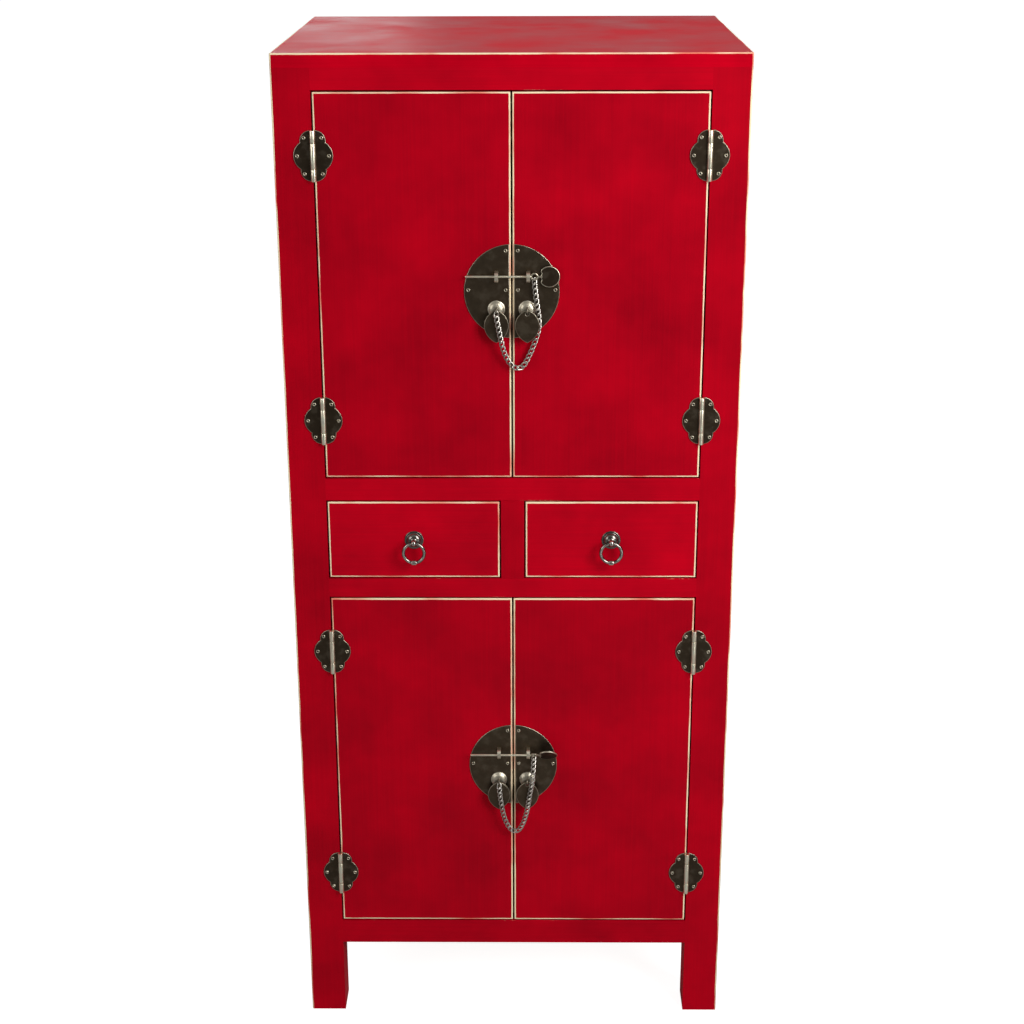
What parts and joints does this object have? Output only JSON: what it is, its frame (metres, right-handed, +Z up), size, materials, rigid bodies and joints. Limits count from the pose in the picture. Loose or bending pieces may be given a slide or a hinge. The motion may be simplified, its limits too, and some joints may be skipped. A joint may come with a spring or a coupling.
{
  "type": "chinese wedding cabinet",
  "caption": "Tall lacquered cupboard on four posts, with doors above and below two drawers, butterfly hinges, round lock plates and lock bolts on chains, for clothes and bedding.",
  "frame": {"origin": "bottom centre of the whole cabinet's box, on the floor", "axes": "+Z up, the front faces -Y, +X to the right as seen from the front"},
  "size_m": [0.608, 0.542, 1.41],
  "materials": {
    "red_lacquer": "worn red lacquer, satin",
    "dark_back": "dark stained wood, matt",
    "bare_wood": "bare elm, oiled",
    "dark_bronze": "dark antique bronze",
    "aged_bronze": "aged bronze with bright rubbed edges",
    "hinge_bronze": "aged bronze",
    "chain_brass": "rubbed brass"
  },
  "bodies": {
    "carcass": {"top_panel": "red_lacquer", "front_left_post": "red_lacquer", "front_right_post": "red_lacquer", "rear_left_post": "red_lacquer", "rear_right_post": "red_lacquer", "bottom_rail": "red_lacquer", "rail_below_drawers": "red_lacquer", "rail_above_drawers": "red_lacquer", "front_top_rail": "red_lacquer", "drawer_divider": "red_lacquer", "drawer_guides": "bare_wood", "left_side_panel": "red_lacquer", "right_side_panel": "red_lacquer", "back_panel": "dark_back", "rear_rails": "dark_back", "lower_floor": "bare_wood", "drawer_deck": "bare_wood", "upper_floor": "bare_wood", "lower_shelf": "bare_wood", "upper_shelf": "bare_wood", "left_hinge_frame_leaves": "hinge_bronze", "right_hinge_frame_leaves": "hinge_bronze", "side_rails": "red_lacquer", "board_cleats": "bare_wood"},
    "upper_left_door": {"upper_left_door": "red_lacquer", "upper_left_door_hinge_leaves": "hinge_bronze", "upper_left_lock_plate": "dark_bronze", "upper_left_lock_fittings": "aged_bronze", "upper_lock_chain": "chain_brass"},
    "upper_left_leaf_pull": {"upper_left_leaf_pull": "aged_bronze"},
    "upper_right_door": {"upper_right_door": "red_lacquer", "upper_right_door_hinge_leaves": "hinge_bronze", "upper_right_lock_plate": "dark_bronze", "upper_right_lock_fittings": "aged_bronze"},
    "upper_right_leaf_pull": {"upper_right_leaf_pull": "aged_bronze"},
    "lower_left_door": {"lower_left_door": "red_lacquer", "lower_left_door_hinge_leaves": "hinge_bronze", "lower_left_lock_plate": "dark_bronze", "lower_left_lock_fittings": "aged_bronze", "lower_lock_chain": "chain_brass"},
    "lower_left_leaf_pull": {"lower_left_leaf_pull": "aged_bronze"},
    "lower_right_door": {"lower_right_door": "red_lacquer", "lower_right_door_hinge_leaves": "hinge_bronze", "lower_right_lock_plate": "dark_bronze", "lower_right_lock_fittings": "aged_bronze"},
    "lower_right_leaf_pull": {"lower_right_leaf_pull": "aged_bronze"},
    "upper_lock_bolt": {"upper_lock_bolt": "dark_bronze"},
    "lower_lock_bolt": {"lower_lock_bolt": "dark_bronze"},
    "left_drawer": {"left_drawer_front": "red_lacquer", "left_drawer_sides": "bare_wood", "left_drawer_back": "bare_wood", "left_drawer_bottom": "bare_wood", "left_drawer_rosette": "aged_bronze"},
    "left_drawer_ring": {"left_drawer_ring": "aged_bronze"},
    "right_drawer": {"right_drawer_front": "red_lacquer", "right_drawer_sides": "bare_wood", "right_drawer_back": "bare_wood", "right_drawer_bottom": "bare_wood", "right_drawer_rosette": "aged_bronze"},
    "right_drawer_ring": {"right_drawer_ring": "aged_bronze"}
  },
  "joints": [
    {"name": "upper_left_door_hinge", "type": "hinge", "parent": "carcass", "child": "upper_left_door", "pos_m": [-0.253, -0.25274, 1.1055], "axis": [0, 0, -1], "range_deg": [0, 170]},
    {"name": "upper_left_leaf_pull_swing", "type": "hinge", "parent": "upper_left_door", "child": "upper_left_leaf_pull", "pos_m": [-0.0203, -0.26005, 1.082], "axis": [-1, 0, 0], "range_deg": [-10, 120]},
    {"name": "upper_right_door_hinge", "type": "hinge", "parent": "carcass", "child": "upper_right_door", "pos_m": [0.253, -0.25274, 1.1055], "axis": [0, 0, 1], "range_deg": [0, 170]},
    {"name": "upper_right_leaf_pull_swing", "type": "hinge", "parent": "upper_right_door", "child": "upper_right_leaf_pull", "pos_m": [0.0203, -0.26005, 1.082], "axis": [-1, 0, 0], "range_deg": [-10, 120]},
    {"name": "upper_lock_bolt_slide", "type": "slide", "parent": "upper_left_door", "child": "upper_lock_bolt", "axis": [1, 0, 0], "range_m": [0, 0.09], "deforming": ["upper_lock_chain"]},
    {"name": "lower_left_door_hinge", "type": "hinge", "parent": "carcass", "child": "lower_left_door", "pos_m": [-0.253, -0.25274, 0.414], "axis": [0, 0, -1], "range_deg": [0, 170]},
    {"name": "lower_left_leaf_pull_swing", "type": "hinge", "parent": "lower_left_door", "child": "lower_left_leaf_pull", "pos_m": [-0.0203, -0.26005, 0.3905], "axis": [-1, 0, 0], "range_deg": [-10, 120]},
    {"name": "lower_right_door_hinge", "type": "hinge", "parent": "carcass", "child": "lower_right_door", "pos_m": [0.253, -0.25274, 0.414], "axis": [0, 0, 1], "range_deg": [0, 170]},
    {"name": "lower_right_leaf_pull_swing", "type": "hinge", "parent": "lower_right_door", "child": "lower_right_leaf_pull", "pos_m": [0.0203, -0.26005, 0.3905], "axis": [-1, 0, 0], "range_deg": [-10, 120]},
    {"name": "lower_lock_bolt_slide", "type": "slide", "parent": "lower_left_door", "child": "lower_lock_bolt", "axis": [1, 0, 0], "range_m": [0, 0.09], "deforming": ["lower_lock_chain"]},
    {"name": "left_drawer_slide", "type": "slide", "parent": "carcass", "child": "left_drawer", "axis": [0, -1, 0], "range_m": [0, 0.3]},
    {"name": "left_drawer_ring_swing", "type": "hinge", "parent": "left_drawer", "child": "left_drawer_ring", "pos_m": [-0.135, -0.26304, 0.758], "axis": [-1, 0, 0], "range_deg": [-15, 120]},
    {"name": "right_drawer_slide", "type": "slide", "parent": "carcass", "child": "right_drawer", "axis": [0, -1, 0], "range_m": [0, 0.3]},
    {"name": "right_drawer_ring_swing", "type": "hinge", "parent": "right_drawer", "child": "right_drawer_ring", "pos_m": [0.135, -0.26304, 0.758], "axis": [-1, 0, 0], "range_deg": [-15, 120]}
  ]
}
